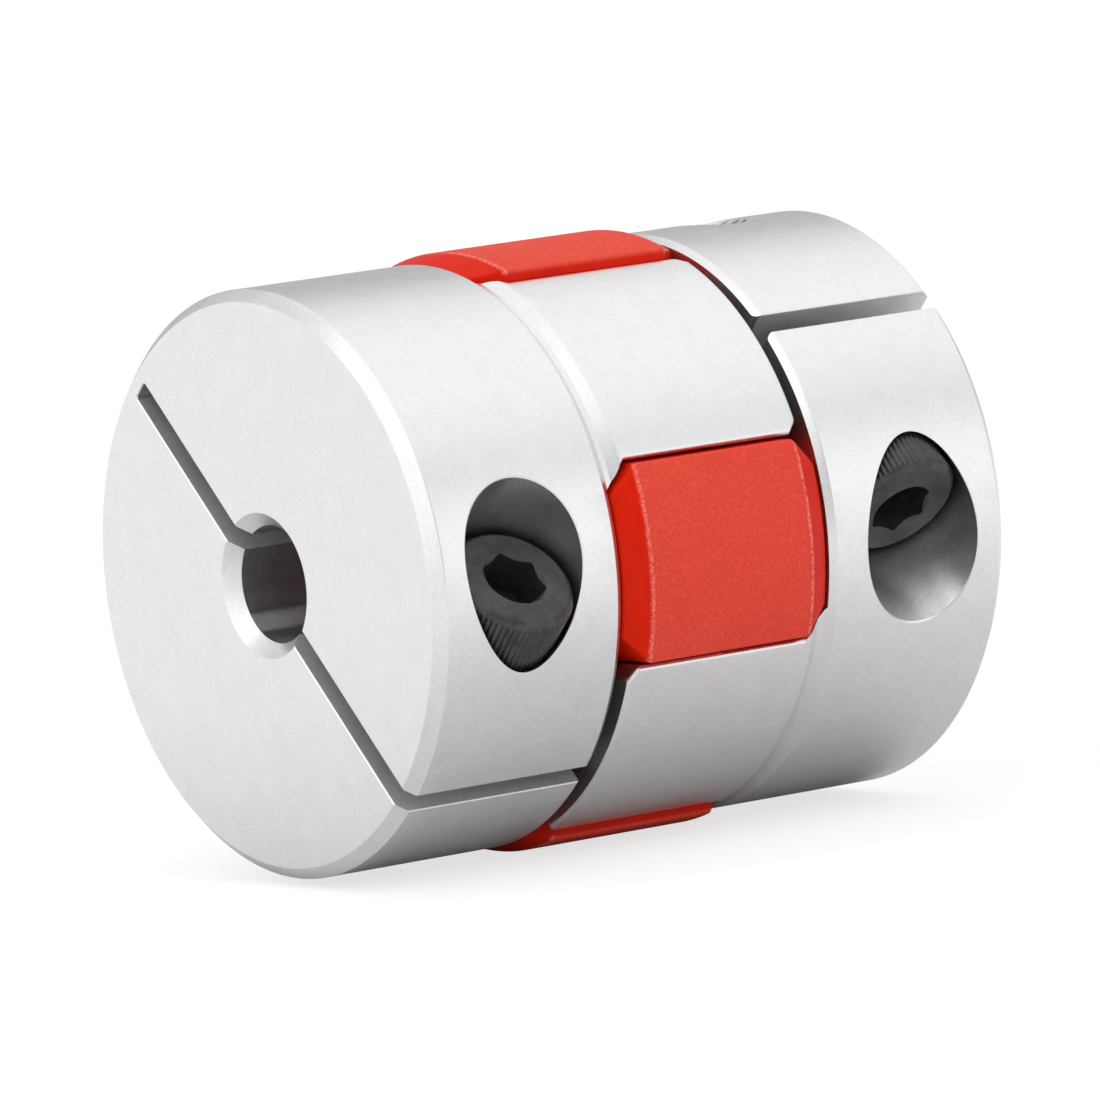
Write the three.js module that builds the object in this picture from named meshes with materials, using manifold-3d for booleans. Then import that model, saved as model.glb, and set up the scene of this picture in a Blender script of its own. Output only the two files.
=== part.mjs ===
// Clamp-type jaw coupling for two 5 mm shafts: 25 mm in diameter, 30 mm long, M3 clamp screws.
//
// Two equal aluminium hubs face each other with two jaws each. An elastomer spider with four arms sits
// between the jaws and carries the torque. Each hub is sawn through on one side of its bore, and one cap
// screw across that slit clamps the hub on its shaft.
//
// Units are millimetres. X is the shafts' axis, Z is up, and the origin is the middle of the coupling.
// hub_a is on the -X side. hub_b is the same hub turned half a turn about Y.

import * as THREE from "three";
import { mergeVertices } from "three/addons/utils/BufferGeometryUtils.js";
import Module from "manifold-3d";

const wasm = await Module();
wasm.setup();

// ---------------------------------------------------------------- driving dimensions

const COUPLING_LENGTH = 30;
const HUB_RADIUS = 12.5;
const BORE_RADIUS = 2.5;
const SPIDER_SPACE = 11; // between the inner faces of the two hub bodies
const ARM_SPACE = 8.6; // between two neighbouring jaws, across one arm

// Hub details
const RIM_CHAMFER = 0.5;
const BORE_CHAMFER = 0.6; // at the outer end
const BORE_INNER_CHAMFER = 0.3; // at the spider's side
const JAW_TIP_GAP = 0.6; // from a jaw's tip to the other hub's body
const GROOVE_DEPTH = 0.3; // turned round each hub at the roots of its jaws
const GROOVE_START = 0.3; // how far the groove reaches into the body
const GROOVE_FLANK = 0.4; // axial width of its sloping side towards the body
const GROOVE_FLOOR = 0.3; // axial width of its floor
const GROOVE_RISE = 0.5; // axial width of its gentler side towards the jaws
const JAW_INNER_RADIUS = 1.1; // rounding of a jaw's inner corner
const JAW_ROOT_LENGTH = 1.15; // chamfer where a jaw's side meets the body, along X
const JAW_ROOT_WIDTH = 1.15; // the same chamfer, across the arm's space
const JAW_TIP_CHAMFER = 0.5;

// Clamp: the slit lies in the plane of the open direction, and the screw crosses it at right angles
const SLIT_WIDTH = 0.95;
const SLIT_DEPTH = 11.4; // how far past the axis the saw goes, on the hinge side
const SLIT_ANGLE = -45; // degrees about X, from -Y towards +Z
const SCREW_OFFSET = 8.1; // from the shaft axis, in the slit's plane
const SCREW_X = 10.4; // from the middle of the coupling
const POCKET_RADIUS = 2.95;
const POCKET_FLOOR = 4.4; // height of the head's seat over the slit's middle plane
const CLEARANCE_RADIUS = 1.7; // screw hole between the seat and the slit
const THREAD_HOLE_RADIUS = 1.5; // beyond the slit, through to the outside

// M3 x 10 socket head cap screw
const SCREW_HEAD_RADIUS = 2.75;
const SCREW_HEAD_HEIGHT = 3;
const SCREW_HEAD_CHAMFER = 0.3;
const SCREW_RADIUS = 1.4; // half way down the M3 thread, which is left plain
const SCREW_LENGTH = 10;
const SCREW_TIP_CHAMFER = 0.4;
const HEX_ACROSS_FLATS = 2.5;
const HEX_DEPTH = 1.5;
const SCREW_LIFT_A = 0.97; // hub_a's screw is backed off about two turns
const SCREW_LIFT_B = 0.17; // hub_b's screw is a third of a turn short of its seat

// Spider
const SPIDER_WIDTH = 10.7; // along X
const ARM_CLEARANCE = 0.1; // on each side of an arm
const ARM_TIP_RADIUS = 12.85; // the arms stand a little proud of the hubs
const ARM_TIP_DROP = 0.6; // fall of the arm's outer face at its ends
const ARM_TIP_BEVEL = 1.15; // length of that fall along X
const ARM_EDGE_LENGTH = 1.25; // bevel along the arms' sides, along X
const ARM_EDGE_WIDTH = 1.2; // the same bevel, across
const SPIDER_HOLE_RADIUS = 4.25;

// Facets
const HUB_FACETS = 48;
const BORE_FACETS = 24; // round the bores and the spider's hole
const SCREW_HOLE_FACETS = 16;
const SCREW_FACETS = 24;
const TIP_FACETS = 24; // round the arms' outer faces, with a flat facet in the middle of each arm
const CORNER_STEPS = 4;

// ---------------------------------------------------------------- worked out from these

const END_X = COUPLING_LENGTH / 2;
const FACE_X = SPIDER_SPACE / 2;
const JAW_TIP_X = FACE_X - JAW_TIP_GAP;
const JAW_SIDE = ARM_SPACE / 2;
const GROOVE_RADIUS = HUB_RADIUS - GROOVE_DEPTH;
const GROOVE_FLANK_X = -FACE_X - GROOVE_START; // hub_a's groove: where it starts, on the body
const GROOVE_FLOOR_X = GROOVE_FLANK_X + GROOVE_FLANK;
const GROOVE_RISE_X = GROOVE_FLOOR_X + GROOVE_FLOOR;
const CUT_PAST = 1; // how far a cutter or a jaw's rough stock runs on past the face where it starts
const SIDE_PAST = 3; // how far cutters and rough stock stand out beyond the hub's round surface

const AXES = {
  x: new THREE.Vector3(1, 0, 0),
  y: new THREE.Vector3(0, 1, 0),
  z: new THREE.Vector3(0, 0, 1),
};

// A unit vector square to X, at an angle about X measured from -Y towards +Z.
function radial(degrees) {
  const angle = THREE.MathUtils.degToRad(degrees);
  return new THREE.Vector3(0, -Math.cos(angle), Math.sin(angle));
}

const OPEN_DIRECTION = radial(SLIT_ANGLE);
const SCREW_DIRECTION = radial(SLIT_ANGLE + 90);

// The point of hub_a's clamp at a height over the slit, on the screw's axis.
function onScrewAxis(height) {
  return new THREE.Vector3(-SCREW_X, 0, 0)
    .addScaledVector(OPEN_DIRECTION, SCREW_OFFSET)
    .addScaledVector(SCREW_DIRECTION, height);
}

// ---------------------------------------------------------------- shapes and solids

// A three.js geometry as a solid that can be joined and cut.
function toSolid(geometry) {
  geometry.deleteAttribute("normal");
  geometry.deleteAttribute("uv");
  const merged = mergeVertices(geometry, 1e-5);
  const corners = merged.index.array;
  const triangles = [];
  for (let i = 0; i < corners.length; i += 3) {
    const [a, b, c] = corners.slice(i, i + 3);
    if (a !== b && b !== c && c !== a) triangles.push(a, b, c);
  }
  const vertProperties = merged.attributes.position.array;
  const triVerts = new Uint32Array(triangles);
  return new wasm.Manifold(new wasm.Mesh({ numProp: 3, vertProperties, triVerts }));
}

function toMesh(name, solid, material) {
  const { vertProperties, triVerts } = solid.getMesh();
  const geometry = new THREE.BufferGeometry();
  geometry.setAttribute("position", new THREE.BufferAttribute(vertProperties, 3));
  geometry.setIndex(new THREE.BufferAttribute(triVerts, 1));
  geometry.computeVertexNormals();
  const mesh = new THREE.Mesh(geometry, material);
  mesh.name = name;
  return mesh;
}

// A solid turned about X, from a profile of [x, radius] points that starts and ends on the axis.
function turned(profile, facets) {
  const points = profile.map(([x, radius]) => new THREE.Vector2(radius, x));
  const halfFacet = Math.PI / facets;
  return toSolid(new THREE.LatheGeometry(points, facets, halfFacet).rotateZ(-Math.PI / 2));
}

// A round bar between two points.
function bar(start, end, radius, facets) {
  const along = end.clone().sub(start);
  const length = along.length();
  const turn = new THREE.Quaternion().setFromUnitVectors(AXES.y, along.normalize());
  const geometry = new THREE.CylinderGeometry(radius, radius, length, facets);
  geometry.translate(0, length / 2, 0);
  geometry.applyQuaternion(turn);
  geometry.translate(start.x, start.y, start.z);
  return toSolid(geometry);
}

// A flat outline pulled straight into a prism. Its x, y and depth run along the three given directions.
function prism(shape, depth, origin, xWay, yWay, depthWay) {
  const geometry = new THREE.ExtrudeGeometry(shape, {
    depth,
    bevelEnabled: false,
    curveSegments: CORNER_STEPS,
  });
  const place = new THREE.Matrix4().makeBasis(xWay, yWay, depthWay).setPosition(origin);
  return toSolid(geometry.applyMatrix4(place));
}

function polygon(points) {
  return new THREE.Shape(points.map(([x, y]) => new THREE.Vector2(x, y)));
}

// ---------------------------------------------------------------- hub

// The hub's whole outside, as turned: chamfered rim, groove at the jaws' roots, jaw tips.
function hubEnvelope() {
  return turned(
    [
      [-END_X, 0],
      [-END_X, HUB_RADIUS - RIM_CHAMFER],
      [-END_X + RIM_CHAMFER, HUB_RADIUS],
      [GROOVE_FLANK_X, HUB_RADIUS],
      [GROOVE_FLOOR_X, GROOVE_RADIUS],
      [GROOVE_RISE_X, GROOVE_RADIUS],
      [GROOVE_RISE_X + GROOVE_RISE, HUB_RADIUS],
      [JAW_TIP_X, HUB_RADIUS],
      [JAW_TIP_X, 0],
    ],
    HUB_FACETS,
  );
}

// The Y and Z directions of one jaw. A hub has two jaws, half a turn apart about X: side is 1 or -1.
function jawWays(side) {
  return [AXES.y.clone().multiplyScalar(side), AXES.z.clone().multiplyScalar(side)];
}

// One jaw with its outer side left square, past the hub's surface, for the envelope to trim.
function jawStock(side) {
  const far = HUB_RADIUS + SIDE_PAST;
  const corner = JAW_SIDE + JAW_INNER_RADIUS;
  const outline = new THREE.Shape();
  outline.moveTo(-JAW_SIDE, corner);
  outline.lineTo(-JAW_SIDE, far);
  outline.lineTo(-far, far);
  outline.lineTo(-far, JAW_SIDE);
  outline.lineTo(-corner, JAW_SIDE);
  outline.absarc(-corner, corner, JAW_INNER_RADIUS, 1.5 * Math.PI, 2 * Math.PI, false);
  const start = new THREE.Vector3(-FACE_X - CUT_PAST, 0, 0);
  const length = JAW_TIP_X - start.x;
  return prism(outline, length, start, ...jawWays(side), AXES.x);
}

// Long three-cornered bars along both flat sides of a jaw. A bar's corner edge lies on the jaw's side
// at x, and the bar spreads from there by alongX and by across.
function sideBars(side, x, alongX, across) {
  const [yWay, zWay] = jawWays(side);
  const inner = JAW_SIDE + JAW_INNER_RADIUS;
  const length = HUB_RADIUS + SIDE_PAST - inner;
  const triangle = polygon([
    [0, 0],
    [alongX, 0],
    [0, across],
  ]);
  const flipped = polygon([
    [0, 0],
    [alongX, 0],
    [0, -across],
  ]);
  const startY = new THREE.Vector3(x, -JAW_SIDE * side, inner * side);
  const startZ = new THREE.Vector3(x, -inner * side, JAW_SIDE * side);
  const facingY = prism(triangle, length, startY, AXES.x, yWay, zWay);
  const facingZ = prism(flipped, length, startZ, AXES.x, zWay, yWay.clone().negate());
  return facingY.add(facingZ);
}

function jaw(side) {
  const roots = sideBars(side, -FACE_X, JAW_ROOT_LENGTH, JAW_ROOT_WIDTH);
  const tips = sideBars(side, JAW_TIP_X, -JAW_TIP_CHAMFER, -JAW_TIP_CHAMFER);
  return jawStock(side).add(roots).subtract(tips);
}

function boreCutter() {
  const mouth = BORE_RADIUS + BORE_CHAMFER;
  const inner = BORE_RADIUS + BORE_INNER_CHAMFER;
  return turned(
    [
      [-END_X - CUT_PAST, 0],
      [-END_X - CUT_PAST, mouth + CUT_PAST],
      [-END_X + BORE_CHAMFER, BORE_RADIUS],
      [-FACE_X - BORE_INNER_CHAMFER, BORE_RADIUS],
      [-FACE_X + CUT_PAST, inner + CUT_PAST],
      [-FACE_X + CUT_PAST, 0],
    ],
    BORE_FACETS,
  );
}

// The saw cut: blind on the hinge side, open on the clamp side, through the whole body along X.
function slitCutter() {
  const from = -SLIT_DEPTH;
  const to = HUB_RADIUS + SIDE_PAST;
  const half = SLIT_WIDTH / 2;
  const section = polygon([
    [-half, from],
    [half, from],
    [half, to],
    [-half, to],
  ]);
  const start = new THREE.Vector3(-END_X - CUT_PAST, 0, 0);
  const length = -FACE_X + CUT_PAST - start.x;
  return prism(section, length, start, SCREW_DIRECTION, OPEN_DIRECTION, AXES.x);
}

function screwHoles() {
  const outside = HUB_RADIUS + SIDE_PAST;
  const middle = onScrewAxis(0);
  const seat = onScrewAxis(POCKET_FLOOR);
  const overSeat = onScrewAxis(POCKET_FLOOR + CUT_PAST);
  const pocket = bar(seat, onScrewAxis(outside), POCKET_RADIUS, SCREW_HOLE_FACETS);
  const clearance = bar(middle, overSeat, CLEARANCE_RADIUS, SCREW_HOLE_FACETS);
  const thread = bar(onScrewAxis(-outside), middle, THREAD_HOLE_RADIUS, SCREW_HOLE_FACETS);
  return pocket.add(clearance).add(thread);
}

function hubA() {
  const stock = HUB_RADIUS + SIDE_PAST;
  const body = turned(
    [
      [-END_X, 0],
      [-END_X, stock],
      [-FACE_X, stock],
      [-FACE_X, 0],
    ],
    HUB_FACETS,
  );
  return body
    .add(jaw(1))
    .add(jaw(-1))
    .intersect(hubEnvelope())
    .subtract(boreCutter())
    .subtract(slitCutter())
    .subtract(screwHoles());
}

// ---------------------------------------------------------------- clamp screw

// The screw of hub_a, lifted off its seat by a given height.
function clampScrewA(lift) {
  const under = POCKET_FLOOR + lift;
  const top = under + SCREW_HEAD_HEIGHT;
  const tip = under - SCREW_LENGTH;
  const profile = [
    [0, tip],
    [SCREW_RADIUS - SCREW_TIP_CHAMFER, tip],
    [SCREW_RADIUS, tip + SCREW_TIP_CHAMFER],
    [SCREW_RADIUS, under],
    [SCREW_HEAD_RADIUS, under],
    [SCREW_HEAD_RADIUS, top - SCREW_HEAD_CHAMFER],
    [SCREW_HEAD_RADIUS - SCREW_HEAD_CHAMFER, top],
    [0, top],
  ].map(([radius, height]) => new THREE.Vector2(radius, height));
  const place = new THREE.Matrix4()
    .makeBasis(AXES.x, SCREW_DIRECTION, OPEN_DIRECTION)
    .setPosition(onScrewAxis(0));
  const blank = toSolid(new THREE.LatheGeometry(profile, SCREW_FACETS).applyMatrix4(place));
  const corner = HEX_ACROSS_FLATS / Math.sqrt(3);
  const socket = bar(onScrewAxis(top - HEX_DEPTH), onScrewAxis(top + CUT_PAST), corner, 6);
  return blank.subtract(socket);
}

// ---------------------------------------------------------------- spider

// The four arms' outline in the plane square to X, with rounded inner corners.
function spiderOutline() {
  const side = JAW_SIDE - ARM_CLEARANCE;
  const fillet = JAW_INNER_RADIUS + ARM_CLEARANCE;
  const corner = side + fillet;
  const reach = HUB_RADIUS + SIDE_PAST;
  const outline = new THREE.Shape();
  outline.moveTo(reach, -side);
  for (let arm = 0; arm < 4; arm += 1) {
    const angle = (arm * Math.PI) / 2;
    const turn = ([x, y]) => [
      x * Math.cos(angle) - y * Math.sin(angle),
      x * Math.sin(angle) + y * Math.cos(angle),
    ];
    outline.lineTo(...turn([reach, side]));
    outline.lineTo(...turn([corner, side]));
    outline.absarc(...turn([corner, corner]), fillet, angle - Math.PI / 2, angle - Math.PI, true);
    outline.lineTo(...turn([side, reach]));
  }
  return outline;
}

function spider() {
  const halfWidth = SPIDER_WIDTH / 2;
  const straight = SPIDER_WIDTH - 2 * ARM_EDGE_LENGTH;
  const geometry = new THREE.ExtrudeGeometry(spiderOutline(), {
    depth: straight,
    bevelEnabled: true,
    bevelThickness: ARM_EDGE_LENGTH,
    bevelSize: ARM_EDGE_WIDTH,
    bevelOffset: -ARM_EDGE_WIDTH,
    bevelSegments: 1,
    curveSegments: CORNER_STEPS * 2,
  });
  const place = new THREE.Matrix4()
    .makeBasis(AXES.y, AXES.z, AXES.x)
    .setPosition(-straight / 2, 0, 0);
  const cross = toSolid(geometry.applyMatrix4(place));
  const tips = turned(
    [
      [-halfWidth - CUT_PAST, 0],
      [-halfWidth - CUT_PAST, ARM_TIP_RADIUS - ARM_TIP_DROP],
      [-halfWidth, ARM_TIP_RADIUS - ARM_TIP_DROP],
      [-halfWidth + ARM_TIP_BEVEL, ARM_TIP_RADIUS],
      [halfWidth - ARM_TIP_BEVEL, ARM_TIP_RADIUS],
      [halfWidth, ARM_TIP_RADIUS - ARM_TIP_DROP],
      [halfWidth + CUT_PAST, ARM_TIP_RADIUS - ARM_TIP_DROP],
      [halfWidth + CUT_PAST, 0],
    ],
    TIP_FACETS,
  );
  const holeStart = new THREE.Vector3(-halfWidth - CUT_PAST, 0, 0);
  const holeEnd = new THREE.Vector3(halfWidth + CUT_PAST, 0, 0);
  const hole = bar(holeStart, holeEnd, SPIDER_HOLE_RADIUS, BORE_FACETS);
  return cross.intersect(tips).subtract(hole);
}

// ---------------------------------------------------------------- materials and assembly

const aluminium = { color: 0xd9dadc, roughness: 0.32, metalness: 1 };
const polyurethane = { color: 0xd8402e, roughness: 0.5, metalness: 0 };
const blackOxide = { color: 0x1b1b1c, roughness: 0.45, metalness: 0.6 };

const group = new THREE.Group();
group.name = "jaw_coupling";

function addPiece(name, solid, look, turnAboutY) {
  const mesh = toMesh(name, solid, new THREE.MeshStandardMaterial(look));
  mesh.rotation.y = turnAboutY;
  group.add(mesh);
}

const hub = hubA();
addPiece("hub_a", hub, aluminium, 0);
addPiece("clamp_screw_a", clampScrewA(SCREW_LIFT_A), blackOxide, 0);
addPiece("spider", spider(), polyurethane, 0);
addPiece("hub_b", hub, aluminium, Math.PI);
addPiece("clamp_screw_b", clampScrewA(SCREW_LIFT_B), blackOxide, Math.PI);

export default group;
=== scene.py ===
# Clamp-type jaw coupling: the fine surface, the materials, the light and the camera.
#
# Shapes are worked out in millimetres in the part's own frame (X is the shafts' axis, Z is up, the
# origin is the middle of the coupling) and scaled to metres as each piece is finished.

import math

import bmesh
import bpy
import numpy as np
from mathutils import Matrix, Vector


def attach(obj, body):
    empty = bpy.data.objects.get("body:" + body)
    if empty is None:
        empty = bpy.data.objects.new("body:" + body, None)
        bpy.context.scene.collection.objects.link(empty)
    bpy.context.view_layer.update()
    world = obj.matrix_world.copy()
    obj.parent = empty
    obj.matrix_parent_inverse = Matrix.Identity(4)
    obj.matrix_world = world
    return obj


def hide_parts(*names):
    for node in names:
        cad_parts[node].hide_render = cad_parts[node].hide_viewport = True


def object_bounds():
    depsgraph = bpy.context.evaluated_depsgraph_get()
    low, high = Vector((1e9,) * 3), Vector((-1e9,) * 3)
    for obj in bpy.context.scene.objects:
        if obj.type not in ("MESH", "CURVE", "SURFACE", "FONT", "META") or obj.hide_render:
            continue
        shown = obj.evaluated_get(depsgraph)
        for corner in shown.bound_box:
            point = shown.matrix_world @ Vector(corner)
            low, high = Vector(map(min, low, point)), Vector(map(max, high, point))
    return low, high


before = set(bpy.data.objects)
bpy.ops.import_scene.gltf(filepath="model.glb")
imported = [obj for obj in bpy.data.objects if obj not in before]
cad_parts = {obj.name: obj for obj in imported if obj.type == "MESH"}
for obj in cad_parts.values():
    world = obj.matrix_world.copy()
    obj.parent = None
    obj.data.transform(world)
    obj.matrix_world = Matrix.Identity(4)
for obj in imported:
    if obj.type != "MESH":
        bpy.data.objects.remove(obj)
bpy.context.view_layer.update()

MM = 0.001
WELD = 0.0005  # points closer than this, in millimetres, become one

# ---------------------------------------------------------------- dimensions, in millimetres

END_X = 15.0
FACE_X = 5.5
HUB_RADIUS = 12.5
RIM_CHAMFER = 0.5
BORE_RADIUS = 2.5
BORE_CHAMFER = 0.6
BORE_INNER_CHAMFER = 0.3
JAW_TIP_X = 4.9
JAW_SIDE = 4.3
JAW_INNER_RADIUS = 1.1
JAW_ROOT_LENGTH = 1.15
JAW_ROOT_WIDTH = 1.15
JAW_TIP_CHAMFER = 0.5
JAW_TIP_EDGE = 0.12
JAW_EDGE_ROUND = 0.2
JAW_ROOT_SINK = 0.7  # how far a jaw's root reaches into the disc behind it
GROOVE_RADIUS = 12.2
GROOVE_FLANK_X = -5.8
GROOVE_FLOOR_X = -5.4
GROOVE_RISE_X = -5.1
GROOVE_END_X = -4.6

SLIT_WIDTH = 0.95
SLIT_FLARE = 0.33
SLIT_DEPTH = 11.4
SLIT_ANGLE = -45.0
SCREW_OFFSET = 8.1
SCREW_X = 10.4
POCKET_RADIUS = 2.95
POCKET_FLOOR = 4.4
CLEARANCE_RADIUS = 1.7
EDGE_BREAK = 0.05
TAPPED_CREST = 1.3
TAPPED_ROOT = 1.52
TAPPED_END = -10.6
TAPPED_MOUTH_RADIUS = 1.45
TAPPED_MOUTH_BREAK = 0.15

THREAD_PITCH = 0.5
THREAD_STEPS = 8  # rings in one turn of a thread
THREAD_CREST = 1.48
THREAD_ROOT = 1.22
HEAD_RADIUS = 2.75
HEAD_HEIGHT = 3.0
KNURL_TEETH = 66
KNURL_DEPTH = 0.07
SCREW_LENGTH = 10.0
HEX_ACROSS_FLATS = 2.5
HEX_DEPTH = 2.0
HEX_CORNER_SHARE = 0.985  # the hexagon's corners are cut off at this share of their radius
SOCKET_MOUTH_RADIUS = 1.24
SOCKET_MOUTH_DEPTH = 0.16
DRILL_RADIUS = 1.2
DRILL_POINT_RADIUS = 0.15
DRILL_POINT_DEPTH = 0.45
SCREW_LIFT_A = 0.97
SCREW_LIFT_B = 0.17
SCREW_TURN_A = -33.0
SCREW_TURN_B = -20.0

SPIDER_HALF_WIDTH = 5.35
ARM_SIDE = 4.2
ARM_TIP_RADIUS = 12.85
ARM_TIP_DROP = 0.6
ARM_TIP_BEVEL = 1.15
ARM_EDGE_LENGTH = 1.25
ARM_EDGE_WIDTH = 1.2
ARM_EDGE_ROUND = 0.12
SPIDER_HOLE_RADIUS = 4.25
SPIDER_HOLE_CHAMFER = 0.3

# facets round a hub, its bore, a hole's lip and the tapped hole
ROUND_STEPS = 360
BORE_STEPS = 180
LIP_STEPS = 256
TAPPED_STEPS = 48

# how far apart two faces' normals may point, in degrees, before their edge is sharp
HUB_SHARP = 24.0
SCREW_SHARP = 30.0
SPIDER_SHARP = 28.0

# ---------------------------------------------------------------- mesh helpers


def radial(degrees):
    """A unit vector square to X, at an angle about X measured from -Y towards +Z."""
    angle = math.radians(degrees)
    return np.array([0.0, -math.cos(angle), math.sin(angle)])


OPEN_WAY = radial(SLIT_ANGLE)
SCREW_WAY = radial(SLIT_ANGLE + 90)
X_WAY = np.array([1.0, 0.0, 0.0])


def in_clamp(x, n, s):
    """The point at x that lies n along the slit's open direction and s along the screw."""
    return X_WAY * x + OPEN_WAY * n + SCREW_WAY * s


def solid_from(name, verts, faces):
    """A closed mesh object in millimetres, with its faces turned outwards."""
    mesh = bpy.data.meshes.new(name)
    mesh.from_pydata([tuple(v) for v in verts], [], faces)
    shape = bmesh.new()
    shape.from_mesh(mesh)
    bmesh.ops.recalc_face_normals(shape, faces=shape.faces)
    shape.to_mesh(mesh)
    shape.free()
    obj = bpy.data.objects.new(name, mesh)
    bpy.context.scene.collection.objects.link(obj)
    return obj


def skin(name, rings, closed=False):
    """A skin over rings of points, with flat caps, or running back to its first ring if closed."""
    count = len(rings[0])
    faces = []
    pairs = len(rings) if closed else len(rings) - 1
    for ring in range(pairs):
        low = ring * count
        high = (ring + 1) % len(rings) * count
        for i in range(count):
            j = (i + 1) % count
            faces.append((low + i, low + j, high + j, high + i))
    if not closed:
        last = (len(rings) - 1) * count
        faces.append(tuple(range(count))[::-1])
        faces.append(tuple(range(last, last + count)))
    return solid_from(name, np.concatenate(rings), faces)


def rounded(points, radii, steps):
    """A polyline in a plane with its corners rounded to the given radii, 0 for a sharp corner."""
    line = []
    for i, (point, radius) in enumerate(zip(points, radii)):
        corner = Vector(point)
        if radius == 0 or i == 0 or i == len(points) - 1:
            line.append(corner)
            continue
        back = (Vector(points[i - 1]) - corner).normalized()
        ahead = (Vector(points[i + 1]) - corner).normalized()
        half = back.angle(ahead) / 2
        middle = (back + ahead).normalized()
        centre = corner + middle * (radius / math.sin(half))
        start = corner + back * (radius / math.tan(half)) - centre
        end = corner + ahead * (radius / math.tan(half)) - centre
        sweep = start.angle(end)
        for step in range(steps + 1):
            share = step / steps
            along = start * math.sin((1 - share) * sweep) + end * math.sin(share * sweep)
            line.append(centre + along / math.sin(sweep))
    return np.array(line)


def turned(name, profile, steps=ROUND_STEPS, closed=False):
    """A solid turned about X from (x, radius) points. A closed profile makes a ring."""
    angles = (np.arange(steps) + 0.5) * 2 * math.pi / steps
    rings = []
    for x, radius in profile:
        ring = np.stack([np.full(steps, x), radius * np.cos(angles), radius * np.sin(angles)], 1)
        rings.append(ring)
    return skin(name, rings, closed)


def combine(target, cutter, operation):
    """Joins a cutter to the target or cuts it away, and removes the cutter."""
    modifier = target.modifiers.new("combine", "BOOLEAN")
    modifier.operation = operation
    modifier.solver = "MANIFOLD"
    modifier.object = cutter
    depsgraph = bpy.context.evaluated_depsgraph_get()
    result = bpy.data.meshes.new_from_object(target.evaluated_get(depsgraph))
    target.modifiers.clear()
    old = target.data
    target.data = result
    bpy.data.meshes.remove(old)
    old = cutter.data
    bpy.data.objects.remove(cutter)
    bpy.data.meshes.remove(old)


def finish_mesh(obj, name, sharp_degrees):
    """Scales a piece to metres, smooths it between sharp edges and weights its normals by area."""
    mesh = obj.data
    obj.name = name
    mesh.name = name
    shape = bmesh.new()
    shape.from_mesh(mesh)
    bmesh.ops.remove_doubles(shape, verts=shape.verts, dist=WELD)
    bmesh.ops.dissolve_degenerate(shape, edges=shape.edges, dist=WELD)
    limit = math.radians(sharp_degrees)
    for edge in shape.edges:
        faces = edge.link_faces
        edge.smooth = len(faces) == 2 and faces[0].normal.angle(faces[1].normal, 0.0) < limit
    for face in shape.faces:
        face.smooth = True
    bmesh.ops.scale(shape, vec=(MM, MM, MM), verts=shape.verts)
    shape.to_mesh(mesh)
    shape.free()
    weighted = obj.modifiers.new("weighted normals", "WEIGHTED_NORMAL")
    weighted.mode = "FACE_AREA"
    weighted.keep_sharp = True
    weighted.weight = 60
    return obj


# ---------------------------------------------------------------- hub


def hub_body():
    """The disc of the hub, with a chamfered rim at the end face."""
    profile = rounded(
        [
            (-END_X, 1.0),
            (-END_X, HUB_RADIUS - RIM_CHAMFER),
            (-END_X + RIM_CHAMFER, HUB_RADIUS),
            (-FACE_X, HUB_RADIUS),
            (-FACE_X, 1.0),
        ],
        [0, 0.07, 0.07, 0, 0],
        4,
    )
    return turned("hub", profile)


def groove_cutter():
    """The ring that the shallow groove at the jaws' roots takes out of the hub."""
    above = HUB_RADIUS + 0.002  # just clear of the hub's own surface
    profile = rounded(
        [
            (GROOVE_FLANK_X - 0.5, above),
            (GROOVE_FLANK_X, above),
            (GROOVE_FLOOR_X, GROOVE_RADIUS),
            (GROOVE_RISE_X, GROOVE_RADIUS),
            (GROOVE_END_X, above),
            (GROOVE_END_X + 0.5, above),
            (GROOVE_END_X + 0.5, above + 1),
            (GROOVE_FLANK_X - 0.5, above + 1),
        ],
        [0, 0.08, 0.1, 0.15, 0.25, 0, 0, 0],
        4,
    )
    return turned("groove", profile, closed=True)


def jaw_outline(side, radius, edge, inner, turn):
    """A jaw's section square to X: two flat sides, the hub's round and rounded corners.
    side is the distance of the flat sides from the arms' middle planes, and turn is 1 or -1."""
    points = []
    centre = side + inner
    for angle in np.linspace(1.5 * math.pi, math.pi, 10):
        points.append((centre + inner * math.cos(angle), centre + inner * math.sin(angle)))
    across = side + edge
    along = math.sqrt((radius - edge) ** 2 - across**2)
    reach = math.atan2(along, across)
    for angle in np.linspace(math.pi, reach, 9):
        points.append((across + edge * math.cos(angle), along + edge * math.sin(angle)))
    other = math.atan2(across, along)
    for angle in np.linspace(reach, other, 74)[1:-1]:
        points.append((radius * math.cos(angle), radius * math.sin(angle)))
    for angle in np.linspace(other, -math.pi / 2, 9):
        points.append((along + edge * math.cos(angle), across + edge * math.sin(angle)))
    return [(-u * turn, v * turn) for u, v in points]


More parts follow.
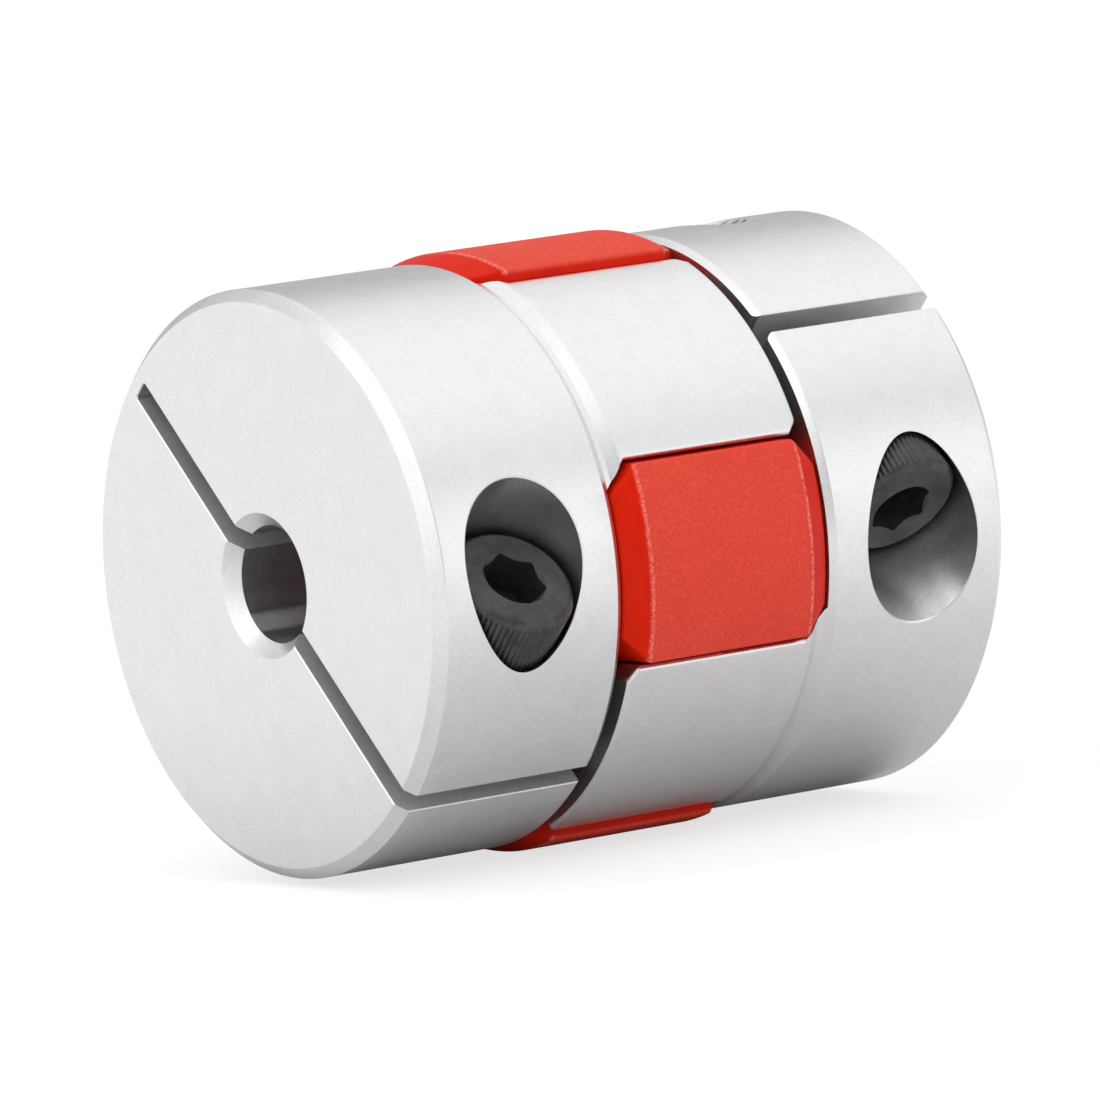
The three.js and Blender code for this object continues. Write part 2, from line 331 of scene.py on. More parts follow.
def jaw(turn):
    """One jaw, widened at its root and chamfered at its tip."""
    root_x = -FACE_X - JAW_ROOT_SINK
    sides = rounded(
        [
            (root_x, JAW_SIDE - JAW_ROOT_WIDTH),
            (-FACE_X, JAW_SIDE - JAW_ROOT_WIDTH),
            (-FACE_X + JAW_ROOT_LENGTH, JAW_SIDE),
            (JAW_TIP_X - JAW_TIP_CHAMFER, JAW_SIDE),
            (JAW_TIP_X, JAW_SIDE + JAW_TIP_CHAMFER),
            (JAW_TIP_X, JAW_SIDE + 2 * JAW_TIP_CHAMFER),
        ],
        [0, 0, 0.2, 0.2, 0.08, 0],
        4,
    )[:-1]
    hidden = HUB_RADIUS - 0.4
    outside = rounded(
        [
            (root_x, hidden),
            (-FACE_X - 0.05, hidden),
            (-FACE_X, HUB_RADIUS),
            (JAW_TIP_X - JAW_TIP_EDGE, HUB_RADIUS),
            (JAW_TIP_X, HUB_RADIUS - JAW_TIP_EDGE),
        ],
        [0, 0, 0, 0.08, 0],
        3,
    )
    stations = sorted({round(float(x), 5) for x in [*sides[:, 0], *outside[:, 0]]})
    rings = []
    for x in stations:
        side = np.interp(x, sides[:, 0], sides[:, 1])
        radius = np.interp(x, outside[:, 0], outside[:, 1])
        outline = jaw_outline(side, radius, JAW_EDGE_ROUND, JAW_INNER_RADIUS, turn)
        rings.append(np.array([(x, y, z) for y, z in outline]))
    return skin("jaw", rings)


def bore_cutter():
    """The bore, flared past the chamfers at both of its ends."""
    profile = rounded(
        [
            (-END_X - 1, BORE_RADIUS + BORE_CHAMFER + 1),
            (-END_X + BORE_CHAMFER, BORE_RADIUS),
            (-FACE_X - BORE_INNER_CHAMFER, BORE_RADIUS),
            (-FACE_X + 1, BORE_RADIUS + BORE_INNER_CHAMFER + 1),
        ],
        [0, 0.06, 0.05, 0],
        3,
    )
    return turned("bore", profile, BORE_STEPS)


def slit_cutter():
    """The saw cut. It flares at the inner face, and its edges at the end face and outside are
    broken."""
    half = SLIT_WIDTH / 2
    past = 0.5
    broken = past + EDGE_BREAK
    stations = [(-END_X - past, broken), (-END_X + EDGE_BREAK, 0.0)]
    for angle in np.linspace(0, math.pi / 2, 7):
        wider = SLIT_FLARE * (1 - math.cos(angle))
        stations.append((-FACE_X - SLIT_FLARE + SLIT_FLARE * math.sin(angle), wider))
    stations.append((-FACE_X + 1, SLIT_FLARE))
    rings = []
    for x, wider in stations:
        wide = half + wider
        deep = SLIT_DEPTH + wider / 2
        outline = [
            (-deep, -wide + 0.1),
            (-deep, wide - 0.1),
            (-deep + 0.1, wide),
            (HUB_RADIUS - EDGE_BREAK, wide),
            (HUB_RADIUS + past, wide + broken),
            (HUB_RADIUS + 3, wide + broken),
            (HUB_RADIUS + 3, -wide - broken),
            (HUB_RADIUS + past, -wide - broken),
            (HUB_RADIUS - EDGE_BREAK, -wide),
            (-deep + 0.1, -wide),
        ]
        rings.append(np.array([in_clamp(x, n, s) for n, s in outline]))
    return skin("slit", rings)


def along_screw(name, profile, steps=128):
    """A solid turned about the screw's axis, from (height, radius) points."""
    rings = []
    for height, radius in profile:
        ring = []
        for angle in np.arange(steps) * 2 * math.pi / steps:
            x = -SCREW_X + radius * math.cos(angle)
            ring.append(in_clamp(x, SCREW_OFFSET + radius * math.sin(angle), height))
        rings.append(np.array(ring))
    return skin(name, rings)


def lip_cutter(radius, way, width):
    """A ring that breaks the edge where a hole along the screw meets the hub's outside."""
    rings = []
    for angle in np.arange(LIP_STEPS) * 2 * math.pi / LIP_STEPS:
        ring = []
        across = Vector((math.cos(angle), math.sin(angle)))
        n = SCREW_OFFSET + radius * across.y
        lip = math.sqrt(HUB_RADIUS**2 - n**2)
        slope = Vector((1.0, -n * across.y / lip)).normalized()
        inner = Vector((radius, lip - width))
        outer = Vector((radius, lip)) + slope * width
        run = (outer - inner).normalized()
        # the section cuts off the corner of the edge, and closes in the open above it
        corners = [inner - run * 0.25, outer + run * 0.4, Vector((radius - 0.2, lip + 1.2))]
        for out, height in corners:
            x = -SCREW_X + out * across.x
            ring.append(in_clamp(x, SCREW_OFFSET + out * across.y, height * way))
        rings.append(np.array(ring))
    return skin("lip", rings, closed=True)


def thread_radius(height, angle, low, high):
    """The radius of a right-hand thread with flat crests and roots."""
    phase = (height / THREAD_PITCH - angle / (2 * math.pi)) % 1.0
    wave = abs(2 * phase - 1)
    return low + (high - low) * min(1.0, max(0.0, 1.35 * wave - 0.17))


def tapped_hole():
    """The tapped hole beyond the slit, as the shape that it takes out of the hub."""
    rings = []
    for height in np.arange(TAPPED_END, 0.2, THREAD_PITCH / THREAD_STEPS):
        ring = []
        for angle in np.arange(TAPPED_STEPS) * 2 * math.pi / TAPPED_STEPS:
            radius = thread_radius(height, angle, TAPPED_CREST, TAPPED_ROOT)
            x = -SCREW_X + radius * math.cos(angle)
            ring.append(in_clamp(x, SCREW_OFFSET + radius * math.sin(angle), height))
        rings.append(np.array(ring))
    return skin("tapped", rings)


def make_hub():
    """hub_a: the disc and its two jaws, with everything that is cut out of them."""
    hub = hub_body()
    combine(hub, jaw(1), "UNION")
    combine(hub, jaw(-1), "UNION")
    combine(hub, groove_cutter(), "DIFFERENCE")
    combine(hub, bore_cutter(), "DIFFERENCE")
    combine(hub, slit_cutter(), "DIFFERENCE")
    pocket = rounded(
        [(POCKET_FLOOR, 1.0), (POCKET_FLOOR, POCKET_RADIUS), (HUB_RADIUS + 2, POCKET_RADIUS)],
        [0, 0.1, 0],
        3,
    )
    combine(hub, along_screw("pocket", pocket), "DIFFERENCE")
    clearance = [(0, CLEARANCE_RADIUS), (POCKET_FLOOR + 1, CLEARANCE_RADIUS)]
    combine(hub, along_screw("clearance", clearance, 64), "DIFFERENCE")
    combine(hub, tapped_hole(), "DIFFERENCE")
    combine(hub, lip_cutter(POCKET_RADIUS, 1, EDGE_BREAK), "DIFFERENCE")
    combine(hub, lip_cutter(TAPPED_MOUTH_RADIUS, -1, TAPPED_MOUTH_BREAK), "DIFFERENCE")
    return hub


# ---------------------------------------------------------------- clamp screw


def local_rings(profile, steps, radius_at):
    """Rings about Z for (height, radius) points, with each radius passed through radius_at."""
    rings = []
    for height, radius in profile:
        ring = []
        for angle in np.arange(steps) * 2 * math.pi / steps:
            out = radius_at(height, radius, angle)
            ring.append((out * math.cos(angle), out * math.sin(angle), height))
        rings.append(np.array(ring))
    return rings


def make_screw():
    """An M3 x 10 socket head cap screw, with its head's seat at height 0 and its shank below."""

    def knurled(height, radius, angle):
        """The head's radius, cut back between its teeth."""
        shape = abs(2 * ((angle * KNURL_TEETH / (2 * math.pi)) % 1.0) - 1)
        inner = HEAD_RADIUS - KNURL_DEPTH
        return min(radius, inner + KNURL_DEPTH * min(1.0, 1.5 * shape))

    head_profile = [
        (0.0, 0.8),
        (0.0, 2.45),
        (0.06, 2.6),
        (0.16, HEAD_RADIUS),
        (2.6, HEAD_RADIUS),
        (2.7, 2.72),
        (2.8, 2.64),
        (2.89, 2.55),
        (2.95, 2.47),
        (2.985, 2.4),
        (3.0, 2.32),
        (3.0, 0.8),
    ]
    screw = skin("screw", local_rings(head_profile, KNURL_TEETH * 6, knurled))

    def threaded(height, radius, angle):
        """The shank's radius, with the thread cut into it."""
        return min(radius, thread_radius(height, angle, THREAD_ROOT, THREAD_CREST))

    heights = np.arange(-SCREW_LENGTH + 0.05, -0.75, THREAD_PITCH / THREAD_STEPS)
    shank = [(-SCREW_LENGTH, 1.0)]
    shank += [(h, min(THREAD_CREST, 1.05 + (h + SCREW_LENGTH))) for h in heights]
    shank += [(-0.7, THREAD_ROOT), (-0.1, 1.3), (0.3, 1.5)]
    combine(screw, skin("shank", local_rings(shank, 60, threaded)), "UNION")

    corner = HEX_ACROSS_FLATS / math.sqrt(3)

    def hexagonal(height, radius, angle):
        """The radius of a hexagon whose corners are cut off, from its corners' radius."""
        nearest = (angle + math.pi / 6) % (math.pi / 3) - math.pi / 6
        flat = radius * math.cos(math.pi / 6) / math.cos(abs(nearest) - math.pi / 6)
        return min(flat, radius * HEX_CORNER_SHARE)

    floor = HEAD_HEIGHT - HEX_DEPTH
    socket = [(floor, corner), (HEAD_HEIGHT + 0.5, corner)]
    combine(screw, skin("socket", local_rings(socket, 72, hexagonal)), "DIFFERENCE")

    def plain(height, radius, angle):
        """The radius as it is."""
        return radius

    drill = [(floor - DRILL_POINT_DEPTH, DRILL_POINT_RADIUS), (floor + 0.05, DRILL_RADIUS)]
    combine(screw, skin("drill", local_rings(drill, 64, plain)), "DIFFERENCE")
    mouth = [
        (HEAD_HEIGHT - SOCKET_MOUTH_DEPTH, SOCKET_MOUTH_RADIUS),
        (HEAD_HEIGHT + 0.1, SOCKET_MOUTH_RADIUS + SOCKET_MOUTH_DEPTH + 0.1),
    ]
    combine(screw, skin("mouth", local_rings(mouth, 96, plain)), "DIFFERENCE")
    return screw


# ---------------------------------------------------------------- spider


def spider_outline(side, radius, edge, inner):
    """The spider's four arms in section square to X, with rounded arm ends and inner corners."""
    arm = []
    across = side - edge
    along = math.sqrt((radius - edge) ** 2 - across**2)
    reach = math.atan2(across, along)
    corner = side + inner
    for share in np.linspace(0, 1, 12)[:-1]:
        arm.append((corner + (along - corner) * share, -side))
    for angle in np.linspace(-math.pi / 2, -reach, 7):
        arm.append((along + edge * math.cos(angle), -across + edge * math.sin(angle)))
    for angle in np.linspace(-reach, reach, 40)[1:-1]:
        arm.append((radius * math.cos(angle), radius * math.sin(angle)))
    for angle in np.linspace(reach, math.pi / 2, 7):
        arm.append((along + edge * math.cos(angle), across + edge * math.sin(angle)))
    for share in np.linspace(1, 0, 12)[1:]:
        arm.append((corner + (along - corner) * share, side))
    for angle in np.linspace(1.5 * math.pi, math.pi, 12)[1:-1]:
        arm.append((corner + inner * math.cos(angle), corner + inner * math.sin(angle)))
    outline = []
    for quarter in range(4):
        c = round(math.cos(quarter * math.pi / 2))
        s = round(math.sin(quarter * math.pi / 2))
        outline += [(u * c - v * s, u * s + v * c) for u, v in arm]
    return outline


def make_spider():
    """The spider, as one moulding: four arms with bevelled ends round a plain hole."""
    half = SPIDER_HALF_WIDTH
    sides = rounded(
        [
            (-half, ARM_SIDE - ARM_EDGE_WIDTH - 0.5),
            (-half, ARM_SIDE - ARM_EDGE_WIDTH),
            (-half + ARM_EDGE_LENGTH, ARM_SIDE),
            (half - ARM_EDGE_LENGTH, ARM_SIDE),
            (half, ARM_SIDE - ARM_EDGE_WIDTH),
            (half, ARM_SIDE - ARM_EDGE_WIDTH - 0.5),
        ],
        [0, 0.15, 0.15, 0.15, 0.15, 0],
        4,
    )[1:-1]
    tips = rounded(
        [
            (-half, ARM_TIP_RADIUS - ARM_TIP_DROP - 0.5),
            (-half, ARM_TIP_RADIUS - ARM_TIP_DROP),
            (-half + ARM_TIP_BEVEL, ARM_TIP_RADIUS),
            (half - ARM_TIP_BEVEL, ARM_TIP_RADIUS),
            (half, ARM_TIP_RADIUS - ARM_TIP_DROP),
            (half, ARM_TIP_RADIUS - ARM_TIP_DROP - 0.5),
        ],
        [0, 0.15, 0.3, 0.3, 0.15, 0],
        4,
    )[1:-1]
    inner_fillet = JAW_INNER_RADIUS + 0.1
    middle = np.linspace(-half + ARM_EDGE_LENGTH + 0.1, half - ARM_EDGE_LENGTH - 0.1, 12)
    stations = sorted({round(float(x), 4) for x in [*sides[:, 0], *tips[:, 0], *middle]})
    rings = []
    for x in stations:
        side = float(np.interp(x, sides[:, 0], sides[:, 1]))
        radius = float(np.interp(x, tips[:, 0], tips[:, 1]))
        outline = spider_outline(side, radius, ARM_EDGE_ROUND, inner_fillet + ARM_SIDE - side)
        rings.append(np.array([(x, y, z) for y, z in outline]))
    spider = skin("spider", rings)
    mouth = SPIDER_HOLE_RADIUS + SPIDER_HOLE_CHAMFER
    hole = rounded(
        [
            (-half - 1, mouth + 1),
            (-half + SPIDER_HOLE_CHAMFER, SPIDER_HOLE_RADIUS),
            (half - SPIDER_HOLE_CHAMFER, SPIDER_HOLE_RADIUS),
            (half + 1, mouth + 1),
        ],
        [0, 0.2, 0.2, 0],
        4,
    )
    combine(spider, turned("hole", hole, 160), "DIFFERENCE")
    return spider


# ---------------------------------------------------------------- materials

END_FACE_FROM = 0.0140  # the end faces' finish comes in between these two distances along X
END_FACE_FULL = 0.0143
PEBBLED_FULL = 0.0040  # the pebbled skin ends between these two distances along X
PEBBLED_END = 0.0043
# painted highlight: the pale line along the pebbled skin's edge stands in for light caught by that
# edge
PAINTED_HIGHLIGHT_X = 0.0042  # the middle of the pale line along its edge
PEBBLED_RADIUS = 0.01265  # the pebbled skin comes in between these two distances from the axis
PEBBLED_RADIUS_FULL = 0.01278


class Nodes:
    """A material's node tree, with short calls for what this file needs."""

    def __init__(self, name):
        self.material = bpy.data.materials.new(name)
        self.material.use_nodes = True
        self.tree = self.material.node_tree
        self.shader = self.tree.nodes["Principled BSDF"]
        self.coordinates = self.add("ShaderNodeTexCoord")
        self.place = self.coordinates.outputs["Object"]

    def add(self, kind, **settings):
        node = self.tree.nodes.new(kind)
        for key, value in settings.items():
            setattr(node, key, value)
        return node

    def put(self, node, socket, value):
        if isinstance(value, bpy.types.NodeSocket):
            self.tree.links.new(value, node.inputs[socket])
        else:
            node.inputs[socket].default_value = value

    def maths(self, operation, a, b=0.0):
        node = self.add("ShaderNodeMath", operation=operation)
        self.put(node, 0, a)
        self.put(node, 1, b)
        return node.outputs[0]

    def length(self, a, b):
        squares = self.maths("ADD", self.maths("POWER", a, 2.0), self.maths("POWER", b, 2.0))
        return self.maths("SQRT", squares)

    def noise(self, vector, scale, detail=2.0, roughness=0.5):
        node = self.add("ShaderNodeTexNoise")
        self.put(node, "Vector", vector)
        self.put(node, "Scale", scale)
        self.put(node, "Detail", detail)
        self.put(node, "Roughness", roughness)
        return node.outputs["Fac"]

    def combine(self, x, y, z):
        node = self.add("ShaderNodeCombineXYZ")
        for i, value in enumerate((x, y, z)):
            self.put(node, i, value)
        return node.outputs[0]

    def separate(self, vector):
        node = self.add("ShaderNodeSeparateXYZ")
        self.put(node, 0, vector)
        return node.outputs

    def ramp(self, value, low, high, to_low, to_high):
        node = self.add("ShaderNodeMapRange")
        for i, v in enumerate((value, low, high, to_low, to_high)):
            self.put(node, i, v)
        return node.outputs[0]

    def mix(self, share, low, high):
        node = self.add("ShaderNodeMix", data_type="RGBA")
        self.put(node, 0, share)
        self.put(node, 6, low)
        self.put(node, 7, high)
        return node.outputs[2]

    def bump(self, height, distance, strength):
        node = self.add("ShaderNodeBump")
        self.put(node, "Height", height)
        self.put(node, "Distance", distance)
        self.put(node, "Strength", strength)
        return node.outputs[0]


def aluminium():
    """Aluminium with a fine grain: bright turned faces, duller milled ones, rougher sawn ones."""
    n = Nodes("turned_aluminium")
    x, y, z = n.separate(n.place)
    radius = n.length(y, z)
    normal_x, normal_y, normal_z = n.separate(n.coordinates.outputs["Normal"])
    outward = n.maths("ADD", n.maths("MULTIPLY", normal_y, y), n.maths("MULTIPLY", normal_z, z))
    outward = n.maths("DIVIDE", outward, n.maths("MAXIMUM", radius, 0.0005))
    facing = n.ramp(n.maths("ABSOLUTE", normal_x), 0.55, 0.8, 0.0, 1.0)
    at_end = n.ramp(n.maths("ABSOLUTE", x), END_FACE_FROM, END_FACE_FULL, 0.0, 1.0)
    on_face = n.maths("MULTIPLY", facing, at_end)
    turned_share = n.maths("MAXIMUM", n.ramp(outward, 0.5, 0.75, 0.0, 1.0), on_face)
    # the slit's walls face halfway between Y and Z, the other way round on each hub
    slope = n.maths("MULTIPLY", n.maths("MULTIPLY", normal_y, normal_z), n.maths("SIGN", x))
    sawn_share = n.ramp(slope, 0.44, 0.48, 0.0, 1.0)

    # the turning lines vary along X on the outside, and along the radius on flat faces
    along = n.maths("ADD", x, n.maths("MULTIPLY", facing, n.maths("SUBTRACT", radius, x)))
    fine_rings = n.combine(n.maths("MULTIPLY", along, 9000.0), 0.0, 0.0)
    lines = n.noise(fine_rings, 1.0, 3.0, 0.7)
    grain = n.noise(n.place, 7000.0, 3.0, 0.6)
    cloud = n.noise(n.place, 900.0, 4.0, 0.65)
    tone = n.maths("ADD", n.maths("MULTIPLY", grain, 0.6), n.maths("MULTIPLY", cloud, 0.4))
    tone = n.maths("ADD", n.maths("MULTIPLY", tone, 0.85), n.maths("MULTIPLY", lines, 0.15))
    shade = n.ramp(tone, 0.35, 0.65, 0.0, 1.0)
    turned_colour = n.mix(shade, (0.82, 0.822, 0.827, 1), (0.92, 0.922, 0.927, 1))
    milled_colour = n.mix(shade, (0.66, 0.662, 0.666, 1), (0.82, 0.822, 0.826, 1))
    sawn_colour = n.mix(shade, (0.76, 0.762, 0.766, 1), (0.88, 0.882, 0.886, 1))
    cut_colour = n.mix(sawn_share, milled_colour, sawn_colour)
    n.put(n.shader, "Base Color", n.mix(turned_share, cut_colour, turned_colour))
    n.put(n.shader, "Metallic", 1.0)
    unevenness = n.ramp(cloud, 0.3, 0.7, -0.02, 0.02)
    cut_roughness = n.ramp(sawn_share, 0.0, 1.0, 0.34, 0.55)
    roughness = n.ramp(turned_share, 0.0, 1.0, cut_roughness, 0.31)
    n.put(n.shader, "Roughness", n.maths("ADD", roughness, unevenness))
    height = n.maths("ADD", n.maths("MULTIPLY", lines, 0.25), n.maths("MULTIPLY", grain, 0.75))
    n.put(n.shader, "Normal", n.bump(height, 0.000008, 0.7))
    return n.material


def black_oxide():
    """Black oxide on steel: nearly black and satin, and a little lighter in rubbed patches."""
    n = Nodes("black_oxide_steel")
    cloud = n.noise(n.place, 1500.0, 4.0, 0.65)
    grain = n.noise(n.place, 12000.0, 2.0)
    rubbed = n.ramp(cloud, 0.35, 0.7, 0.0, 1.0)
    colour = n.mix(rubbed, (0.05, 0.05, 0.051, 1), (0.09, 0.09, 0.091, 1))
    n.put(n.shader, "Base Color", colour)
    n.put(n.shader, "Metallic", 0.6)
    n.put(n.shader, "Roughness", n.ramp(cloud, 0.3, 0.7, 0.3, 0.42))
    n.put(n.shader, "Normal", n.bump(grain, 0.000004, 0.5))
    return n.material


def polyurethane():
    """Red polyurethane: a pebble-grained skin, with painted sheen, on the arms' outer faces and a
    smooth one elsewhere.
    """
    n = Nodes("red_polyurethane")
    x, y, z = n.separate(n.place)
    radius = n.length(y, z)
    from_middle = n.maths("ABSOLUTE", x)
    inside = n.ramp(from_middle, PEBBLED_FULL, PEBBLED_END, 1.0, 0.0)
    far_out = n.ramp(radius, PEBBLED_RADIUS, PEBBLED_RADIUS_FULL, 0.0, 1.0)
    outer = n.maths("MULTIPLY", inside, far_out)
    pebble = n.add("ShaderNodeTexVoronoi", feature="SMOOTH_F1")
    n.put(pebble, "Vector", n.place)
    n.put(pebble, "Scale", 8000.0)
    fine = n.noise(n.place, 9000.0, 3.0, 0.6)
    cloud = n.noise(n.place, 350.0, 3.0, 0.6)
    skin_height = n.maths("ADD", pebble.outputs["Distance"], n.maths("MULTIPLY", fine, 0.6))
    height = n.maths("MULTIPLY", skin_height, n.ramp(outer, 0.0, 1.0, 0.12, 1.0))
    cloudy = n.ramp(cloud, 0.3, 0.7, 0.0, 1.0)
    smooth = n.mix(cloudy, (0.70, 0.013, 0.0015, 1), (0.80, 0.019, 0.0025, 1))
    mottle = n.ramp(cloud, 0.3, 0.7, 0.0, 0.2)
    tone = n.maths("ADD", n.ramp(skin_height, 0.4, 1.1, 0.0, 0.8), mottle)
    # painted sheen: the pebbled skin's red is paler and pinker than the smooth red, standing in
    # for the whitish sheen of its rough face
    pebbled_with_sheen = n.mix(tone, (0.78, 0.064, 0.038, 1), (0.93, 0.098, 0.062, 1))
    colour = n.mix(outer, smooth, pebbled_with_sheen)
    # painted highlight: the arms' outer faces end in a thin, paler, broken line where their edge
    # would catch the light
    from_painted_highlight = n.maths("ABSOLUTE", n.maths("SUBTRACT", from_middle, PAINTED_HIGHLIGHT_X))
    line = n.ramp(from_painted_highlight, 0.00004, 0.00014, 1.0, 0.0)
    line = n.maths("MULTIPLY", line, n.ramp(fine, 0.4, 0.6, 0.1, 0.9))
    line = n.maths("MULTIPLY", line, n.ramp(radius, 0.0126, 0.0127, 0.0, 1.0))
    # the pale colour mixed in along this line is a painted edge highlight
    n.put(n.shader, "Base Color", n.mix(line, colour, (1.0, 0.28, 0.22, 1)))
    n.put(n.shader, "Specular IOR Level", 0.08)
    n.put(n.shader, "Roughness", n.ramp(outer, 0.0, 1.0, 0.32, 0.55))
    n.put(n.shader, "Normal", n.bump(height, 0.00004, 0.9))
    n.shader.subsurface_method = "RANDOM_WALK"
    n.put(n.shader, "Subsurface Weight", 0.25)
    n.put(n.shader, "Subsurface Radius", (1.0, 0.12, 0.05))
    n.put(n.shader, "Subsurface Scale", 0.0012)
    return n.material


# ---------------------------------------------------------------- the pieces

metal = aluminium()
dark = black_oxide()
rubber = polyurethane()


def settle(obj, body, node, look):
    """Gives a piece its material and its body, and hides the CAD node that it stands for."""
    obj.data.materials.clear()
    obj.data.materials.append(look)
    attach(obj, body)
    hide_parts(node)


def copy_turned(obj, name):
    """The same piece on the other hub: a copy of the mesh, turned half a turn about Y."""
    twin = obj.copy()
    twin.data = obj.data.copy()
    twin.name = name
    twin.data.name = name
    twin.data.transform(Matrix.Rotation(math.pi, 4, "Y"))
    bpy.context.scene.collection.objects.link(twin)
    return twin


hub_a = finish_mesh(make_hub(), "hub_a_fine", HUB_SHARP)
hub_b = copy_turned(hub_a, "hub_b_fine")
settle(hub_a, "hub_a", "hub_a", metal)
settle(hub_b, "hub_b", "hub_b", metal)


def place_screw(obj, lift, turn_degrees):
    """Turns a screw about its own axis and stands it in hub_a's pocket, lifted off its seat."""
    ways = Matrix((X_WAY, -OPEN_WAY, SCREW_WAY)).transposed().to_4x4()
    seat = in_clamp(-SCREW_X, SCREW_OFFSET, POCKET_FLOOR + lift) * MM
    spin = Matrix.Rotation(math.radians(turn_degrees), 4, "Z")
    obj.data.transform(Matrix.Translation(seat) @ ways @ spin)


screw_a = finish_mesh(make_screw(), "clamp_screw_a_fine", SCREW_SHARP)
screw_b = screw_a.copy()
screw_b.data = screw_a.data.copy()
screw_b.name = "clamp_screw_b_fine"
bpy.context.scene.collection.objects.link(screw_b)
place_screw(screw_a, SCREW_LIFT_A, SCREW_TURN_A)
place_screw(screw_b, SCREW_LIFT_B, SCREW_TURN_B)
screw_b.data.transform(Matrix.Rotation(math.pi, 4, "Y"))
settle(screw_a, "clamp_screw_a", "clamp_screw_a", dark)
settle(screw_b, "clamp_screw_b", "clamp_screw_b", dark)

spider = finish_mesh(make_spider(), "spider_fine", SPIDER_SHARP)
settle(spider, "spider", "spider", rubber)

# ---------------------------------------------------------------- camera

VIEW_AZIMUTH = -36.502
VIEW_ELEVATION = 12.612
CLOCKING = 8.0  # how far the front arm is turned up from the view's own level, about X
DISTANCE = 0.5038
SHIFT_RIGHT = -0.000056
SHIFT_UP = -0.000435
SENSOR_MM = 36.0
FOCAL_MM = 386.0

azimuth = math.radians(VIEW_AZIMUTH)
elevation = math.radians(VIEW_ELEVATION)
turn = Matrix.Rotation(math.radians(CLOCKING), 3, "X")
back = turn @ Vector(
    (
        math.sin(azimuth) * math.cos(elevation),
        -math.cos(azimuth) * math.cos(elevation),
        math.sin(elevation),
    )
)
right = turn @ Vector((math.cos(azimuth), math.sin(azimuth), 0.0))
up = back.cross(right)
lens = bpy.data.cameras.new("camera")
lens.sensor_width = SENSOR_MM
lens.lens = FOCAL_MM
lens.clip_start = 0.01
lens.clip_end = 20.0
camera = bpy.data.objects.new("camera", lens)
bpy.context.scene.collection.objects.link(camera)
camera.matrix_world = Matrix.Translation(
    back * DISTANCE + right * SHIFT_RIGHT + up * SHIFT_UP
) @ Matrix((right, up, back)).transposed().to_4x4()
bpy.context.scene.camera = camera

# ---------------------------------------------------------------- floor and light

FLOOR_HALF = 6.0
# painted shade: the floor's colour close round the part, darker than further out
FLOOR_PAINTED_SHADE = (0.72, 0.72, 0.72, 1)
FLOOR_FAR = (0.98, 0.98, 0.98, 1)
FLOOR_LIFT = 0.72
STUDIO_BASE = 0.45
# soft boxes, each as a direction, its brightness, and the cosines at which it ends and is full
SOFT_BOXES = [
    ((0.2, -0.1, 1.0), 0.59, 0.4, 0.88),
    ((0.58, -0.8, 0.03), 0.68, 0.86, 0.97),
    ((-0.58, 0.8, 0.1), 0.42, 0.6, 0.95),
    ((-0.85, -0.2, 0.5), 0.72, 0.7, 0.88),
]


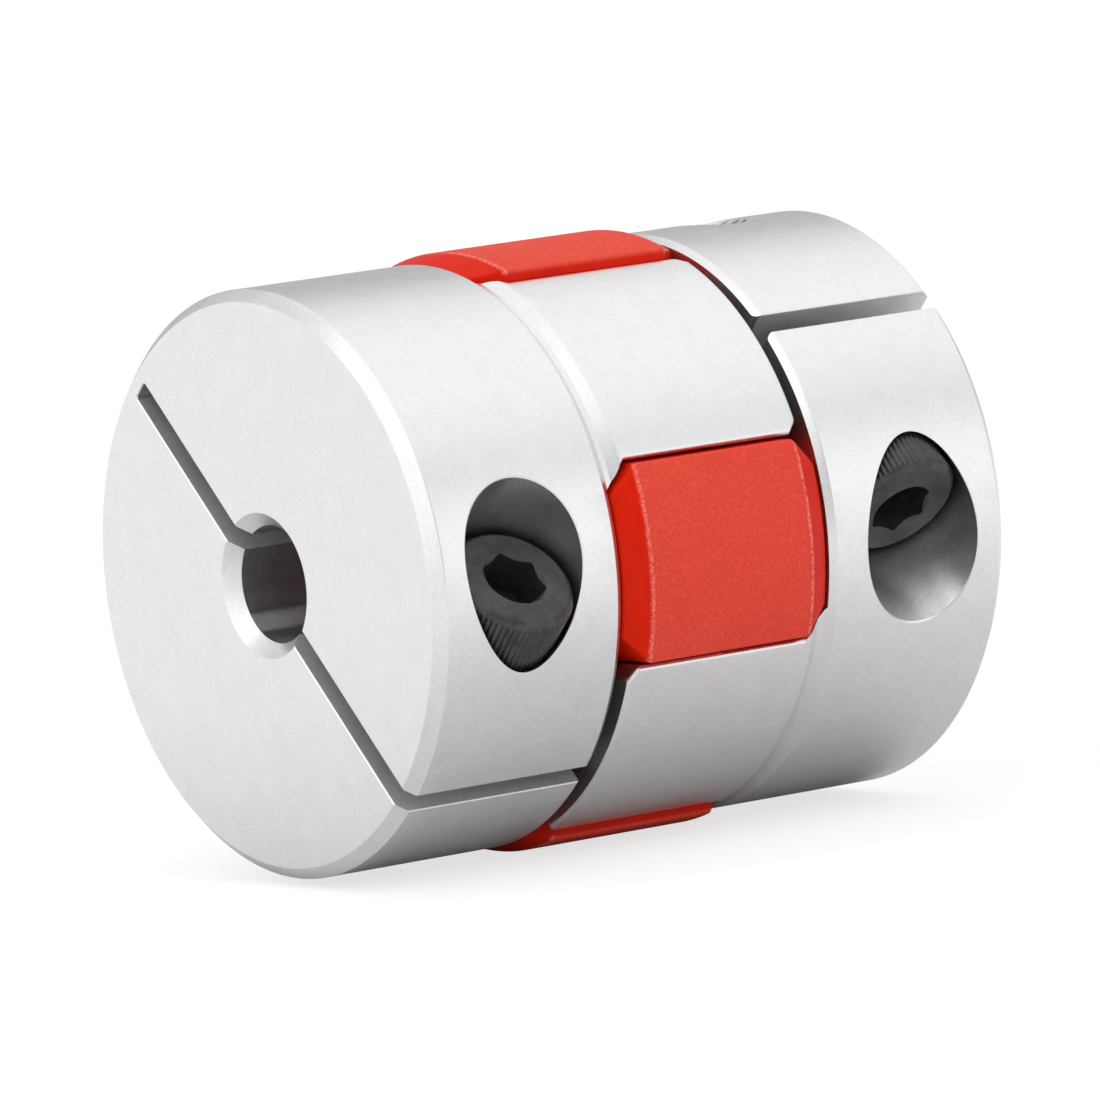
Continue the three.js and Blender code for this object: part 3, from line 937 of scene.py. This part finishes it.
def make_floor():
    """A plain pale floor under the part. Seen by the camera it is nearly white, with a faint
    shadow left on it. In reflections it is painted darker close round the part: painted shade."""
    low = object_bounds()[0][2]
    half = FLOOR_HALF
    corners = [(-half, -half, low), (half, -half, low), (half, half, low), (-half, half, low)]
    mesh = bpy.data.meshes.new("floor")
    mesh.from_pydata(corners, [], [(0, 1, 2, 3)])
    floor = bpy.data.objects.new("floor", mesh)
    bpy.context.scene.collection.objects.link(floor)
    n = Nodes("floor_pale")
    x, y, _ = n.separate(n.place)
    away = n.length(x, y)
    # painted shade: the floor is darker within a few centimetres of the part and fades to its far
    # colour
    out_of_painted_shade = n.ramp(away, 0.02, 0.07, 0.0, 1.0)
    n.put(n.shader, "Base Color", n.mix(out_of_painted_shade, FLOOR_PAINTED_SHADE, FLOOR_FAR))
    n.put(n.shader, "Roughness", 1.0)
    n.put(n.shader, "Specular IOR Level", 0.0)
    paler = n.add("ShaderNodeBsdfDiffuse")
    n.put(paler, "Color", (0.35, 0.35, 0.35, 1))
    lift = n.add("ShaderNodeEmission")
    n.put(lift, "Strength", FLOOR_LIFT)
    seen = n.add("ShaderNodeAddShader")
    n.put(seen, 0, paler.outputs[0])
    n.put(seen, 1, lift.outputs[0])
    choose = n.add("ShaderNodeMixShader")
    n.put(choose, 0, n.add("ShaderNodeLightPath").outputs["Is Camera Ray"])
    n.put(choose, 1, n.shader.outputs[0])
    n.put(choose, 2, seen.outputs[0])
    n.put(n.tree.nodes["Material Output"], "Surface", choose.outputs[0])
    mesh.materials.append(n.material)


def make_studio():
    """A world of soft light: an even base with wide soft boxes above, in front and behind."""
    world = bpy.data.worlds.new("studio")
    world.use_nodes = True
    tree = world.node_tree
    way = tree.nodes.new("ShaderNodeTexCoord").outputs["Generated"]
    total = STUDIO_BASE
    for direction, strength, edge, full in SOFT_BOXES:
        dot = tree.nodes.new("ShaderNodeVectorMath")
        dot.operation = "DOT_PRODUCT"
        tree.links.new(way, dot.inputs[0])
        dot.inputs[1].default_value = Vector(direction).normalized()
        ramp = tree.nodes.new("ShaderNodeMapRange")
        ramp.interpolation_type = "SMOOTHSTEP"
        tree.links.new(dot.outputs["Value"], ramp.inputs["Value"])
        ramp.inputs["From Min"].default_value = edge
        ramp.inputs["From Max"].default_value = full
        ramp.inputs["To Max"].default_value = strength
        add = tree.nodes.new("ShaderNodeMath")
        add.operation = "ADD"
        tree.links.new(ramp.outputs[0], add.inputs[0])
        if isinstance(total, float):
            add.inputs[1].default_value = total
        else:
            tree.links.new(total, add.inputs[1])
        total = add.outputs[0]
    tree.nodes["Background"].inputs["Color"].default_value = (1.0, 1.0, 1.0, 1)
    tree.links.new(total, tree.nodes["Background"].inputs["Strength"])
    bpy.context.scene.world = world


make_floor()
make_studio()
bpy.context.scene.view_settings.view_transform = "Standard"
